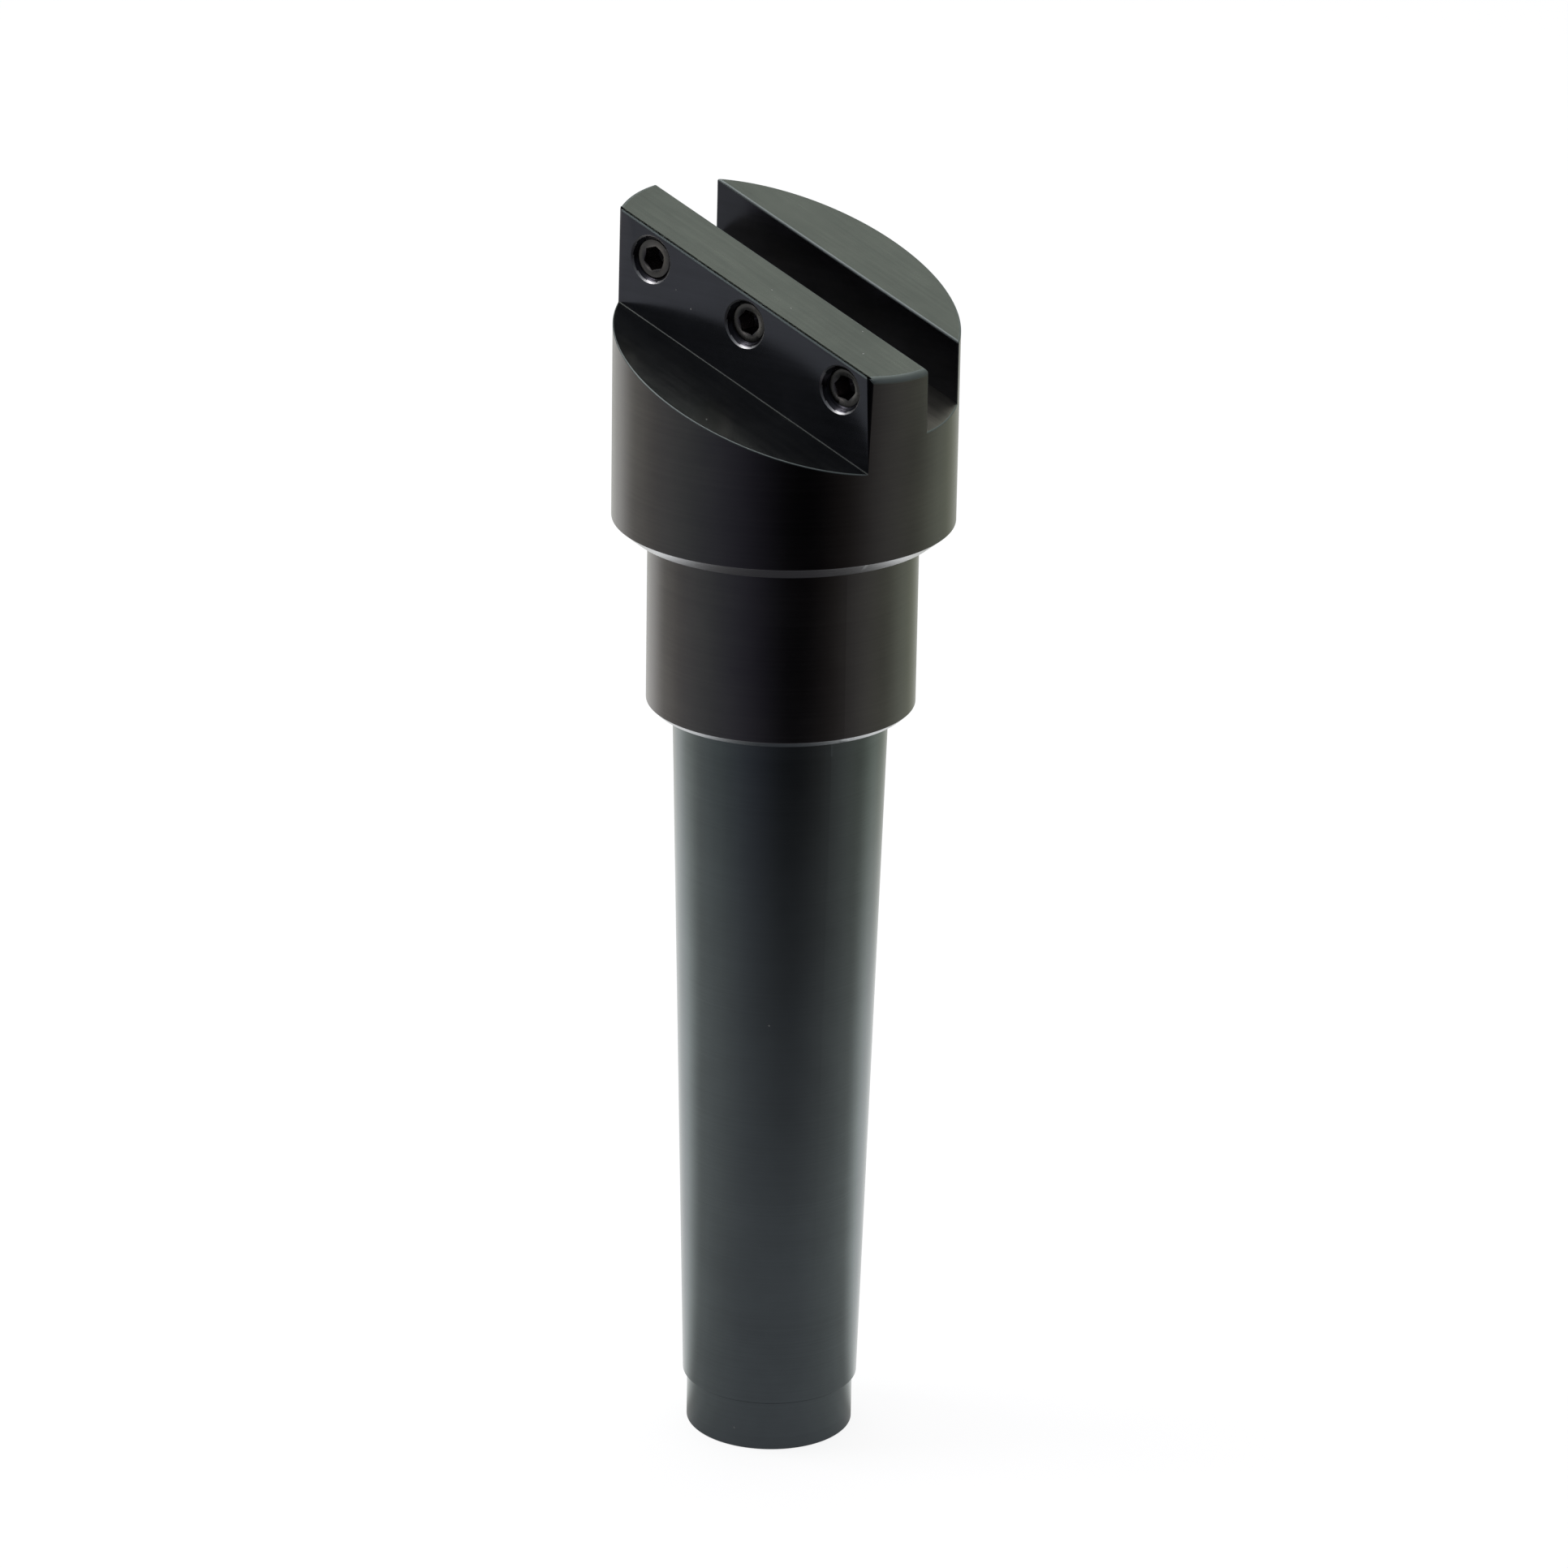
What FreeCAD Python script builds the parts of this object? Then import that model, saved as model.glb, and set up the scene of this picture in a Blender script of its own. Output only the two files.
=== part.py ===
# Fly cutter with a Morse taper shank: one turned steel body that holds a square tool bit in a
# slanted slot, and three socket set screws that clamp the bit.
# Frame: the origin is the centre of the shank's small end face, +Z runs up the axis to the head,
# +X points down the slant of the end face, and -Y is the outward normal of the screws' flat.
# Every length is in millimetres and every angle in degrees.
import FreeCAD, Part
import math
import os

Vector = FreeCAD.Vector

# Shank: Morse taper no. 3 with a tapped small end
taper_ratio = 1 / 19.922
gauge_diameter = 23.825
gauge_offset = 5.0
shank_length = 87.5
relief_diameter = 19.0
relief_length = 6.0
shank_end_chamfer = 0.4

# Tapped hole for the drawbar, bored at the thread's outside diameter
drawbar_thread_diameter = 12.0
drawbar_thread_length = 24.0
drawbar_drill_diameter = 10.2
drawbar_drill_depth = 30.0
drawbar_mouth_diameter = 14.0
countersink_angle = 60.0
drill_point_angle = 118.0

# Collar between the shank and the head
collar_diameter = 30.0
collar_length = 20.5
collar_chamfer = 1.0

# Head, whose end face slants down towards +X
head_diameter = 38.0
head_height = 28.8
head_chamfer = 1.5
end_slant = 20.0
edge_break = 0.3
fine_edge_break = 0.1

# Tool slot, with its depth measured square to the end face
slot_front_offset = 0.4
slot_width = 8.4
slot_depth = 6.6

# Clamping wall between the slot and the milled flat, and the ledge at the foot of the flat
clamp_wall = 8.2
ledge_depth = 10.1
ledge_corner_radius = 0.5
flat_side_bevel = 0.45

# Rounded rim of the end face: at the high end of the clamping wall, round the block behind the
# slot, and at the low end of the clamping wall
rim_radii = (0.3, 0.2, 0.8)

# Set screws, with one recess below the flat and one socket turn for each
screw_diameter = 5.0
screw_length = 6.0
screw_pitch_along_slot = 13.9
middle_screw_offset = 0.2
screw_depth_share = 0.5
screw_recesses = (0.55, 0.75, 0.9)
socket_turns = (19.0, 48.0, 50.0)
screw_clearance = 0.05
hole_mouth_chamfer = 0.2
screw_socket_chamfer = 0.35
screw_point_diameter = 3.5
socket_width = 2.5
socket_depth = 2.5
socket_bottom_angle = 120.0

# Reach of a cutting shape past the face that it opens
overrun = 5.0

# Distance within which a point counts as lying on a line or a plane
tolerance = 1e-6

head_bottom = shank_length + collar_length
end_height = head_bottom + head_height
head_radius = head_diameter / 2
flat_y = slot_front_offset - clamp_wall
slot_back_y = slot_front_offset + slot_width
screw_depth = slot_depth * screw_depth_share
end_frame = FreeCAD.Placement(Vector(0, 0, end_height), FreeCAD.Rotation(Vector(0, 1, 0), end_slant))


def shank_radius(height):
    """Radius of the taper at a height above the small end face."""
    gauge_height = shank_length - gauge_offset
    return (gauge_diameter + (height - gauge_height) * taper_ratio) / 2


def outline(points):
    """Closed wire through (radius, height) points in the XZ plane."""
    corners = [Vector(r, 0, z) for r, z in points]
    return Part.makePolygon(corners + corners[:1])


def turned(points):
    """Solid of revolution about Z of a half section given as (radius, height) points."""
    return Part.Face(outline(points)).revolve(Vector(0, 0, 0), Vector(0, 0, 1), 360)


def section_prism(points):
    """Prism along the slant of the end face, from (across, height) points of its section.

    Heights count from the end face, up being positive, and the prism runs past the head at
    both ends."""
    half_length = head_diameter
    corners = [Vector(-half_length, v, w) for v, w in points]
    prism = Part.Face(Part.makePolygon(corners + corners[:1])).extrude(Vector(2 * half_length, 0, 0))
    prism.Placement = end_frame
    return prism


def turned_blank():
    """Shank, collar and head as one turned bar with a square end above the slant."""
    relief_radius = relief_diameter / 2
    taper_foot = relief_length + shank_radius(relief_length) - relief_radius
    collar_radius = collar_diameter / 2
    top = end_height + head_radius * math.tan(math.radians(end_slant)) + overrun
    return turned([
        (0, 0),
        (relief_radius - shank_end_chamfer, 0),
        (relief_radius, shank_end_chamfer),
        (relief_radius, relief_length),
        (shank_radius(taper_foot), taper_foot),
        (shank_radius(shank_length), shank_length),
        (collar_radius - collar_chamfer, shank_length),
        (collar_radius, shank_length + collar_chamfer),
        (collar_radius, head_bottom),
        (head_radius - head_chamfer, head_bottom),
        (head_radius, head_bottom + head_chamfer),
        (head_radius, top),
        (0, top),
    ])


def milled_blank():
    """The turned bar with its end face, slot and step milled and the end face's rim rounded."""
    above = head_diameter
    waste = section_prism([(-above, 0), (above, 0), (above, above), (-above, above)])
    blank = turned_blank().cut([waste, slot_cutter(), step_cutter()])
    for index, radius in enumerate(rim_radii):
        blank = blank.makeFillet(radius, [rim_arcs(blank)[index]])
    return blank


def rim_arcs(blank):
    """The three curved edges of the end face, counted from its high end to its low end."""
    normal = end_frame.Rotation.multVec(Vector(0, 0, 1))
    arcs = []
    for face in blank.Faces:
        if all(abs((v.Point - end_frame.Base).dot(normal)) < tolerance for v in face.Vertexes):
            arcs += [e for e in face.Edges if not isinstance(e.Curve, Part.Line)]
    return sorted(arcs, key=lambda arc: arc.CenterOfMass.x)


def slot_cutter():
    """Tool slot with its two top edges broken."""
    front = slot_front_offset
    back = slot_back_y
    return section_prism([
        (front, -slot_depth),
        (back, -slot_depth),
        (back, -edge_break),
        (back + edge_break + overrun, overrun),
        (front - fine_edge_break - overrun, overrun),
        (front, -fine_edge_break),
    ])


def step_cutter():
    """Waste in front of the flat and above the ledge, with the inner corner left rounded."""
    outer = -head_diameter
    prism = section_prism([
        (outer, -ledge_depth),
        (flat_y, -ledge_depth),
        (flat_y, -edge_break),
        (flat_y + edge_break + overrun, overrun),
        (outer, overrun),
    ])
    corner = end_frame.multVec(Vector(0, flat_y, -ledge_depth))
    along = end_frame.Rotation.multVec(Vector(1, 0, 0))
    edges = [e for e in prism.Edges if lies_on_line(e, corner, along)]
    return prism.makeFillet(ledge_corner_radius, edges)


def lies_on_line(edge, point, direction):
    """Whether both ends of an edge lie on a line."""
    return all((v.Point - point).cross(direction).Length < tolerance for v in edge.Vertexes)


def side_bevel(side):
    """Bevel on an upright edge of the flat, full width at the top and nothing at the ledge."""
    edge_x = side * math.sqrt(head_radius ** 2 - flat_y ** 2)
    slope = math.tan(math.radians(end_slant))
    foot = end_height - ledge_depth / math.cos(math.radians(end_slant)) - edge_x * slope
    top = end_height - edge_x * slope
    rise = (top + overrun - foot) / (top - foot)
    width = flat_side_bevel * rise
    cylinder_way = Vector(0, 0, side).cross(Vector(edge_x, flat_y, 0))
    cylinder_way.normalize()
    edge_top = Vector(edge_x, flat_y, top + overrun)
    on_flat = edge_top - Vector(side * width, 0, 0)
    on_cylinder = edge_top - cylinder_way * width
    outside = edge_top + Vector(side * width, -width, 0)
    triangle = Part.makePolygon([on_flat, on_cylinder, outside, on_flat])
    return Part.makeLoft([triangle, Part.Vertex(edge_x, flat_y, foot)], True, True)


def screw_axis_point(index):
    """Point on the flat where the axis of a set screw meets it; screw 0 is the highest."""
    slant = math.radians(end_slant)
    middle = (middle_screw_offset + screw_depth * math.sin(slant)) / math.cos(slant)
    along = middle + (index - len(screw_recesses) // 2) * screw_pitch_along_slot
    return end_frame.multVec(Vector(along, flat_y, -screw_depth))


def across(shape, point):
    """Turn a shape built up Z so that Z runs along +Y, and move its origin to a point."""
    placed = shape.copy()
    placed.Placement = FreeCAD.Placement(point, FreeCAD.Rotation(Vector(1, 0, 0), -90))
    return placed


def screw_hole(index):
    """Hole through the clamping wall with a chamfered mouth on the flat."""
    radius = screw_diameter / 2 + screw_clearance
    mouth = radius + hole_mouth_chamfer
    hole = turned([
        (0, -overrun),
        (mouth, -overrun),
        (mouth, 0),
        (radius, hole_mouth_chamfer),
        (radius, clamp_wall + slot_width / 2),
        (0, clamp_wall + slot_width / 2),
    ])
    return across(hole, screw_axis_point(index))


def drawbar_hole():
    """Blind hole up from the small end: countersink, thread bore, tap drill and drill point."""
    mouth = drawbar_mouth_diameter / 2
    thread = drawbar_thread_diameter / 2
    drill = drawbar_drill_diameter / 2
    cone = (mouth - thread) / math.tan(math.radians(countersink_angle / 2))
    thread_end = cone + drawbar_thread_length
    tip = drawbar_drill_depth + drill / math.tan(math.radians(drill_point_angle / 2))
    return turned([
        (0, -overrun),
        (mouth, -overrun),
        (mouth, 0),
        (thread, cone),
        (thread, thread_end),
        (drill, thread_end + thread - drill),
        (drill, drawbar_drill_depth),
        (0, tip),
    ])


def cutter_body():
    """Head, collar and taper shank in one piece of steel."""
    body = milled_blank()
    cutters = [side_bevel(1), side_bevel(-1), drawbar_hole()]
    cutters += [screw_hole(index) for index in range(len(screw_recesses))]
    for cutter in cutters:
        body = body.cut(cutter)
    return body.removeSplitter()


def hexagon(width):
    """Closed hexagon about the origin of the XY plane, given its width across flats."""
    corner_radius = width / 2 / math.cos(math.radians(30))
    corners = []
    for k in range(6):
        turn = math.radians(60 * k)
        corners.append(Vector(corner_radius * math.cos(turn), corner_radius * math.sin(turn), 0))
    return Part.makePolygon(corners + corners[:1])


def socket_cutter():
    """Hexagon socket with the conical bottom that its pilot drill leaves."""
    prism = Part.Face(hexagon(socket_width)).extrude(Vector(0, 0, socket_depth + overrun))
    prism.translate(Vector(0, 0, -overrun))
    drill = socket_width / 2
    cone = drill / math.tan(math.radians(socket_bottom_angle / 2))
    point = turned([(0, 0), (drill, 0), (drill, socket_depth), (0, socket_depth + cone)])
    return prism.fuse(point)


def set_screw(index):
    """Socket set screw with a flat point, recessed below the flat."""
    radius = screw_diameter / 2
    point_radius = screw_point_diameter / 2
    blank = turned([
        (0, 0),
        (radius - screw_socket_chamfer, 0),
        (radius, screw_socket_chamfer),
        (radius, screw_length - (radius - point_radius)),
        (point_radius, screw_length),
        (0, screw_length),
    ])
    screw = blank.cut(socket_cutter())
    screw.rotate(Vector(0, 0, 0), Vector(0, 0, 1), -socket_turns[index])
    seat = screw_axis_point(index) + Vector(0, screw_recesses[index], 0)
    return across(screw, seat)


def main():
    os.makedirs("parts", exist_ok=True)
    cutter_body().exportStep("parts/cutter_body.step")
    for index in range(len(screw_recesses)):
        set_screw(index).exportStep(f"parts/set_screw_{index + 1}.step")


main()
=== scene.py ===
"""Fly cutter with a Morse taper shank, in black oxide steel.

The body and the three set screws are closed surfaces worked out with numpy in the model's own
frame: origin at the centre of the shank's small end, +Z up to the head, +X down the slant of the
end face, -Y out of the screws' flat. Sizes are in millimetres until a mesh is made in metres."""
import math

import bmesh
import bpy
import numpy as np
from mathutils import Matrix, Vector


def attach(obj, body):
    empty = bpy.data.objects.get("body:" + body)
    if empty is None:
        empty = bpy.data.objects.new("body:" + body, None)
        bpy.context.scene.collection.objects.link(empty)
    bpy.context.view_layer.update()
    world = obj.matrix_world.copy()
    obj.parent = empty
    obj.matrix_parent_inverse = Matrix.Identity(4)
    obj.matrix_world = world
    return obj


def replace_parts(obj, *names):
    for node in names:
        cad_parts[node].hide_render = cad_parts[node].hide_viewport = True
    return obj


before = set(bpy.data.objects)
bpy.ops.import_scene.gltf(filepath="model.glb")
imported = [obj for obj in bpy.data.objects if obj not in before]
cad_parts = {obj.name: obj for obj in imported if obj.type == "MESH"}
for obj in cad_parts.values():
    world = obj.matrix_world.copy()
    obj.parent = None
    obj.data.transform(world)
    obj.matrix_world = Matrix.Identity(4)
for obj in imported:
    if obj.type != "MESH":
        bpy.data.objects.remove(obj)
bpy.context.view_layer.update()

METRES = 0.001
PER_METRE = 1000
FULL_TURN = 2 * math.pi

# Points this close are one, faces this thin are dropped, and an edge this near to a line or plane
# lies on it
WELD = 0.0005
SLIVER = 0.0003
NEAR = 1e-3

# Shank and drawbar thread
SHANK_LENGTH = 87.5
TAPER = 1 / 19.922
GAUGE_DIAMETER = 23.825
GAUGE_HEIGHT = 82.5
RELIEF_RADIUS = 9.5
RELIEF_LENGTH = 6.0
SHANK_BREAK = 0.12
# Rings of the taper between its ends, as height and depth below the taper: three make a fine line
# near the collar, and two keep the faces short
TAPER_RINGS = ((85.2, 0), (85.1, 0.02), (85.0, 0), (60.0, 0), (30.0, 0))
DRAWBAR_MOUTH = 7.0
DRAWBAR_THREAD = 6.0
DRAWBAR_CREST = 5.1
DRAWBAR_PITCH = 1.75
DRAWBAR_CONE = 1.732
DRAWBAR_THREAD_END = 25.732
DRAWBAR_RUNOUT = 0.5
DRAWBAR_DRILL_END = 30.0
DRAWBAR_TIP = 33.064

# Collar and head; a chamfer is given by its reach inwards and its height
COLLAR_RADIUS = 15.0
COLLAR_CHAMFER = (0.75, 0.7)
HEAD_BOTTOM = 108.0
HEAD_RADIUS = 19.0
HEAD_CHAMFER = (1.85, 1.5)
TURNED_TOP = 112.0
END_HEIGHT = 136.8
SLANT = math.radians(20.0)
HIGH_RIM = 0.34
LOW_RIM = 0.8
BACK_RIM = (0.18, 0.3)

# Slot, flat and ledge; depths count square to the end face
SLOT_FRONT = 0.4
SLOT_BACK = 8.8
SLOT_DEPTH = 6.6
FLAT = -7.8
LEDGE_DEPTH = 10.1
LEDGE_FILLET = 0.1
SIDE_BEVEL = 0.45
RIM_INSET = 1.5

# Widths of the breaks: the slot's upright edges and the ends of its floor, the straight rims of the
# end face, and the ledge's outer edge, whose break runs out over a distance towards the flat
SLOT_BREAK = 0.12
SLOT_FRONT_BREAK = 0.22
SLOT_BACK_BREAK = 0.25
FLAT_BREAK = 0.3
LEDGE_BREAK = 0.13
LEDGE_BREAK_RUN = 0.8

# Set screws and their holes
SCREW_STEP = 13.9
SCREW_MIDDLE = 0.2
SCREW_DEPTH = 3.3
SCREW_RECESSES = (0.55, 0.75, 0.9)
SOCKET_TURNS = (19.0, 48.0, 50.0)
SCREW_LENGTH = 6.0
SCREW_PITCH = 0.8
HOLE_THREAD = 2.55
HOLE_CREST = 2.15
THREAD_CLEARANCE = 0.06
THREAD_START = 0.03
RUBBED_CREST = 0.03
HOLE_MOUTH = 2.75
SCREW_FACE = 2.15
FACE_LIP = 0.06
SCREW_POINT = 1.75
SOCKET_HALF = 1.25
SOCKET_MOUTH = 1.46
SOCKET_CHAMFER = math.radians(30)
SOCKET_DEPTH = 2.5
SOCKET_TIP = 3.22
SCREW_COLUMNS = 72


# ---- meshes

def end_plane(x, depth=0.0):
    """Height of a plane on the slant: it falls by tan(slant) per millimetre of x, and lies the
    depth below the end face, measured square to it."""
    return END_HEIGHT - depth / math.cos(SLANT) - x * math.tan(SLANT)


def shank_radius(height):
    """Radius of the taper: half the gauge diameter plus half the taper per millimetre of height."""
    return (GAUGE_DIAMETER + (height - GAUGE_HEIGHT) * TAPER) / 2


def softened(corners, steps=4):
    """Profile through (radius, height, rounding) corners. Each corner gives way to an arc of its
    rounding that touches both of its sides: it starts rounding * tan(turn / 2) before the corner,
    and its points follow from the quadratic blend of the two touching points and the corner."""
    points = [np.array(corners[0][:2])]
    for before, (r, z, rounding), after in zip(corners, corners[1:-1], corners[2:]):
        corner = np.array([r, z])
        back, on = np.array(before[:2]) - corner, np.array(after[:2]) - corner
        back, on = back / np.linalg.norm(back), on / np.linalg.norm(on)
        if rounding == 0:
            points.append(corner)
            continue
        half_turn = (math.pi - math.acos(float(np.clip(back @ on, -1, 1)))) / 2
        reach = rounding * math.tan(half_turn)
        t = np.linspace(0, 1, steps)[:, None]
        start, end = corner + back * reach, corner + on * reach
        points.extend((1 - t) ** 2 * start + 2 * t * (1 - t) * corner + t ** 2 * end)
    points.append(np.array(corners[-1][:2]))
    return np.array(points)


def thread_depth(phase):
    """Share of the thread's depth at a phase in turns: 0 on the crest and 1 in the root, with a
    crest of a quarter of the pitch, a root of an eighth and straight flanks between them."""
    half_crest, flank = 1 / 8, 5 / 16
    distance = np.abs(phase - np.round(phase))
    return np.clip((distance - half_crest) / flank, 0, 1)


def helix_rows(angles, start, end, pitch, hand, steps=10):
    """Depths of a grid whose rows follow the thread: depth = pitch * (row / steps + hand * angle
    / full turn), held between the two ends, so that the first and last turns are cut square."""
    turns = (end - start) / pitch
    rows = np.arange(-steps, math.ceil((turns + 1) * steps) + 1)[:, None] / steps
    depths = start + pitch * (rows + hand * angles[None, :] / FULL_TURN)
    return np.clip(depths, start, end)


def grid_faces(rows, columns):
    """Quads between the rows of a grid that closes on itself along each row."""
    i, j = np.meshgrid(np.arange(rows - 1), np.arange(columns), indexing="ij")
    k = (j + 1) % columns
    low, high = i * columns, (i + 1) * columns
    return np.stack([low + j, low + k, high + k, high + j], -1).reshape(-1, 4)


def add_surface(shell, points, faces, finish):
    """Adds points and faces with one finish to a shell of (points, faces, finishes) lists."""
    offset = sum(len(p) for p in shell[0])
    shell[0].append(points)
    shell[1].extend([[int(v) + offset for v in face] for face in faces])
    shell[2].extend(np.broadcast_to(finish, len(faces)).tolist())


def shell_mesh(name, shell):
    """Mesh of a shell, still in millimetres."""
    mesh = bpy.data.meshes.new(name)
    mesh.from_pydata(np.concatenate(shell[0]).tolist(), [], shell[1])
    mesh.polygons.foreach_set("material_index", np.array(shell[2], dtype=np.int32))
    return mesh


def values(items, name, width=1, kind=float):
    """A property of all items as an array, with a row for each item where the width is over 1."""
    array = np.empty(len(items) * width, dtype=kind)
    items.foreach_get(name, array)
    return array.reshape(-1, width) if width > 1 else array


def evaluated_mesh(piece):
    """A piece's mesh with its modifiers applied."""
    graph = bpy.context.evaluated_depsgraph_get()
    return bpy.data.meshes.new_from_object(piece.evaluated_get(graph))


def shaded(piece):
    """Gives a piece's corners the normals that its broad faces lead, and on the head's cylinder
    the normals that point straight out from the axis."""
    leading = piece.modifiers.new("Broad faces lead", "WEIGHTED_NORMAL")
    leading.keep_sharp = True
    mesh = evaluated_mesh(piece)
    piece.modifiers.clear()
    normals = values(mesh.corner_normals, "vector", 3, np.float32)
    sizes = values(mesh.polygons, "loop_total", kind=np.int32)
    face_normals = np.repeat(values(mesh.polygons, "normal", 3), sizes, axis=0)
    corners = values(mesh.loops, "vertex_index", kind=np.int32)
    spots = values(mesh.vertices, "co", 3)[corners] * (1, 1, 0)
    out = np.linalg.norm(spots, axis=1)
    straight = spots / np.maximum(out, 1e-9)[:, None]
    at_radius = np.abs(out - HEAD_RADIUS * METRES) < 2e-6
    on_side = at_radius & ((face_normals * straight).sum(1) > 0.999)
    normals[on_side] = straight[on_side]
    mesh.normals_split_custom_set(normals.tolist())
    piece.data = mesh


def finished_piece(name, shaped, materials, body):
    """Closes the seams of a bmesh, turns its faces outwards, brings it to metres and makes it an
    object that rides on a body."""
    bmesh.ops.remove_doubles(shaped, verts=shaped.verts, dist=WELD)
    bmesh.ops.dissolve_degenerate(shaped, dist=SLIVER, edges=shaped.edges)
    bmesh.ops.recalc_face_normals(shaped, faces=shaped.faces)
    bmesh.ops.scale(shaped, vec=(METRES,) * 3, verts=shaped.verts)
    mesh = bpy.data.meshes.new(name)
    shaped.to_mesh(mesh)
    shaped.free()
    mesh.shade_smooth()
    mesh.set_sharp_from_angle(angle=math.radians(33))
    for material in materials:
        mesh.materials.append(material)
    piece = bpy.data.objects.new(name, mesh)
    bpy.context.collection.objects.link(piece)
    shaded(piece)
    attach(piece, body)
    return piece


# ---- cutter body

(TURNED, GROUND, CHAMFERED, MILLED_END, MILLED_WALL, SLOT_FLOOR, SLOT_WALL, WORN_EDGE, TAPPED,
 RUBBED_MOUTH, RUBBED_EDGE_AND_SHEEN) = range(11)

flat_angle = math.asin(FLAT / HEAD_RADIUS)
front_angle = math.asin(SLOT_FRONT / HEAD_RADIUS)
back_angle = math.asin(SLOT_BACK / HEAD_RADIUS)
bevel_angle = flat_angle + SIDE_BEVEL / HEAD_RADIUS
fillet_angle = math.asin((FLAT - LEDGE_FILLET) / HEAD_RADIUS)
LINE_STEP = math.radians(2.4)


def spread(start, end):
    """Angles from start to end in even steps of about one line step."""
    return np.linspace(start, end, max(2, round((end - start) / LINE_STEP) + 1))


def ledge_depth(y):
    """Depth of the ledge at y: level, and rising in a quarter circle to the flat."""
    inside = np.clip(y - (FLAT - LEDGE_FILLET), 0, LEDGE_FILLET)
    return LEDGE_DEPTH - LEDGE_FILLET + np.sqrt(LEDGE_FILLET ** 2 - inside ** 2)


right_block = np.append(flat_angle, spread(bevel_angle, front_angle))
slot_right = spread(front_angle, back_angle)
back_block = spread(back_angle, math.pi - back_angle)
slot_left = math.pi - slot_right[::-1]
left_block = math.pi - right_block[::-1]
# Steps round the fillet: 1 less the cosine of 0, 22.5, 45, 67.5 and 90 degrees
fillet_ys = FLAT - LEDGE_FILLET * np.array([0, 0.076, 0.293, 0.617, 1.0])
fillet_steps = len(fillet_ys) - 1
fillet_right = np.arcsin(fillet_ys / HEAD_RADIUS)
ledge_level = spread(math.pi - fillet_angle, FULL_TURN + fillet_angle)
ledge = np.concatenate([math.pi - fillet_right[:-1], ledge_level, FULL_TURN + fillet_right[-2::-1]])
head_patches = [right_block, slot_right, back_block, slot_left, left_block, ledge]
head_angles = np.concatenate([patch[:-1] for patch in head_patches])


def on_head(angles, depth):
    """Points on the head's cylinder where it meets a plane on the slant at a depth."""
    x, y = HEAD_RADIUS * np.cos(angles), HEAD_RADIUS * np.sin(angles)
    return np.stack([x, y, end_plane(x, depth)], -1)


def near_ends(x, y):
    """Two points on the end face's straight rim at y, a short way in from each end of its span of
    x to -x. They keep the shading of the corners out of the rest of the rim."""
    inner = np.array([x - RIM_INSET, RIM_INSET - x])
    return np.stack([inner, np.full(2, y), end_plane(inner)], -1)


def head_shell():
    """The head above its turned foot: a ring of tall faces on the cylinder, each patch rising to
    the end face, the slot's floor or the ledge, and the flat faces that lie across the patches.
    A wall's upright edge lies on one line of the cylinder with a point at each of its levels."""
    foot = np.stack([HEAD_RADIUS * np.cos(head_angles), HEAD_RADIUS * np.sin(head_angles),
                     np.full(len(head_angles), TURNED_TOP)], -1)
    depths = [0, SLOT_DEPTH, 0, SLOT_DEPTH, 0, ledge_depth(HEAD_RADIUS * np.sin(ledge))]
    rims = [on_head(patch, depth) for patch, depth in zip(head_patches, depths)]
    # The upright edges of the flat run down to the ends of the ledge.
    rims[0][0] = rims[5][-1]
    rims[4][-1] = rims[5][0]
    flat_top_x = HEAD_RADIUS * math.cos(flat_angle) - SIDE_BEVEL
    flat_top = np.array([[x, FLAT, end_plane(x)] for x in (flat_top_x, -flat_top_x)])
    rim_points = [near_ends(flat_top_x, FLAT), near_ends(rims[0][-1, 0], SLOT_FRONT),
                  near_ends(rims[2][0, 0], SLOT_BACK)]
    points = np.concatenate([foot] + rims + rim_points + [flat_top])
    starts = np.cumsum([len(foot)] + [len(rim) for rim in rims])
    rim_ids = [np.arange(start, start + len(rim)) for start, rim in zip(starts, rims)]
    right, slot_r, back, slot_l, left, low = rim_ids
    (flat_r, flat_l, front_r, front_l, back_r, back_l,
     flat_right, flat_left) = range(starts[-1], len(points))

    faces, finishes = [], []
    column = 0
    for ids in rim_ids:
        for k in range(len(ids) - 1):
            face = [column, (column + 1) % len(foot), ids[k + 1], ids[k]]
            if ids is right and k == len(ids) - 2:
                face = [column, column + 1, slot_r[0], ids[k + 1], ids[k]]
            elif ids is back and k == 0:
                face = [column, column + 1, ids[1], ids[0], slot_r[-1]]
            elif ids is back and k == len(ids) - 2:
                face = [column, column + 1, slot_l[0], ids[k + 1], ids[k]]
            elif ids is left and k == 0:
                face = [column, column + 1, ids[1], ids[0], slot_l[-1]]
            faces.append(face)
            finishes.append(TURNED)
            column += 1

    faces += [
        [*right[1:], front_r, front_l, *left[:-1], flat_left, flat_l, flat_r, flat_right],
        [*back, back_l, back_r],
        [*slot_r, *slot_l],
        [right[-1], slot_r[0], slot_l[-1], left[0], front_l, front_r],
        [back[0], back_r, back_l, back[-1], slot_l[0], slot_r[-1]],
        [low[0], low[-1], flat_right, flat_r, flat_l, flat_left],
        [right[0], right[1], flat_right],
        [left[-1], left[-2], flat_left],
        [*low[fillet_steps:-fillet_steps]],
    ]
    finishes += [MILLED_END, MILLED_END, SLOT_FLOOR, SLOT_WALL, SLOT_WALL, MILLED_WALL, MILLED_WALL,
                 MILLED_WALL, MILLED_END]
    for k in range(fillet_steps):
        faces.append([low[k], low[k + 1], low[-k - 2], low[-k - 1]])
        finishes.append(MILLED_END)
    return [[points], faces, finishes]


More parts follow.
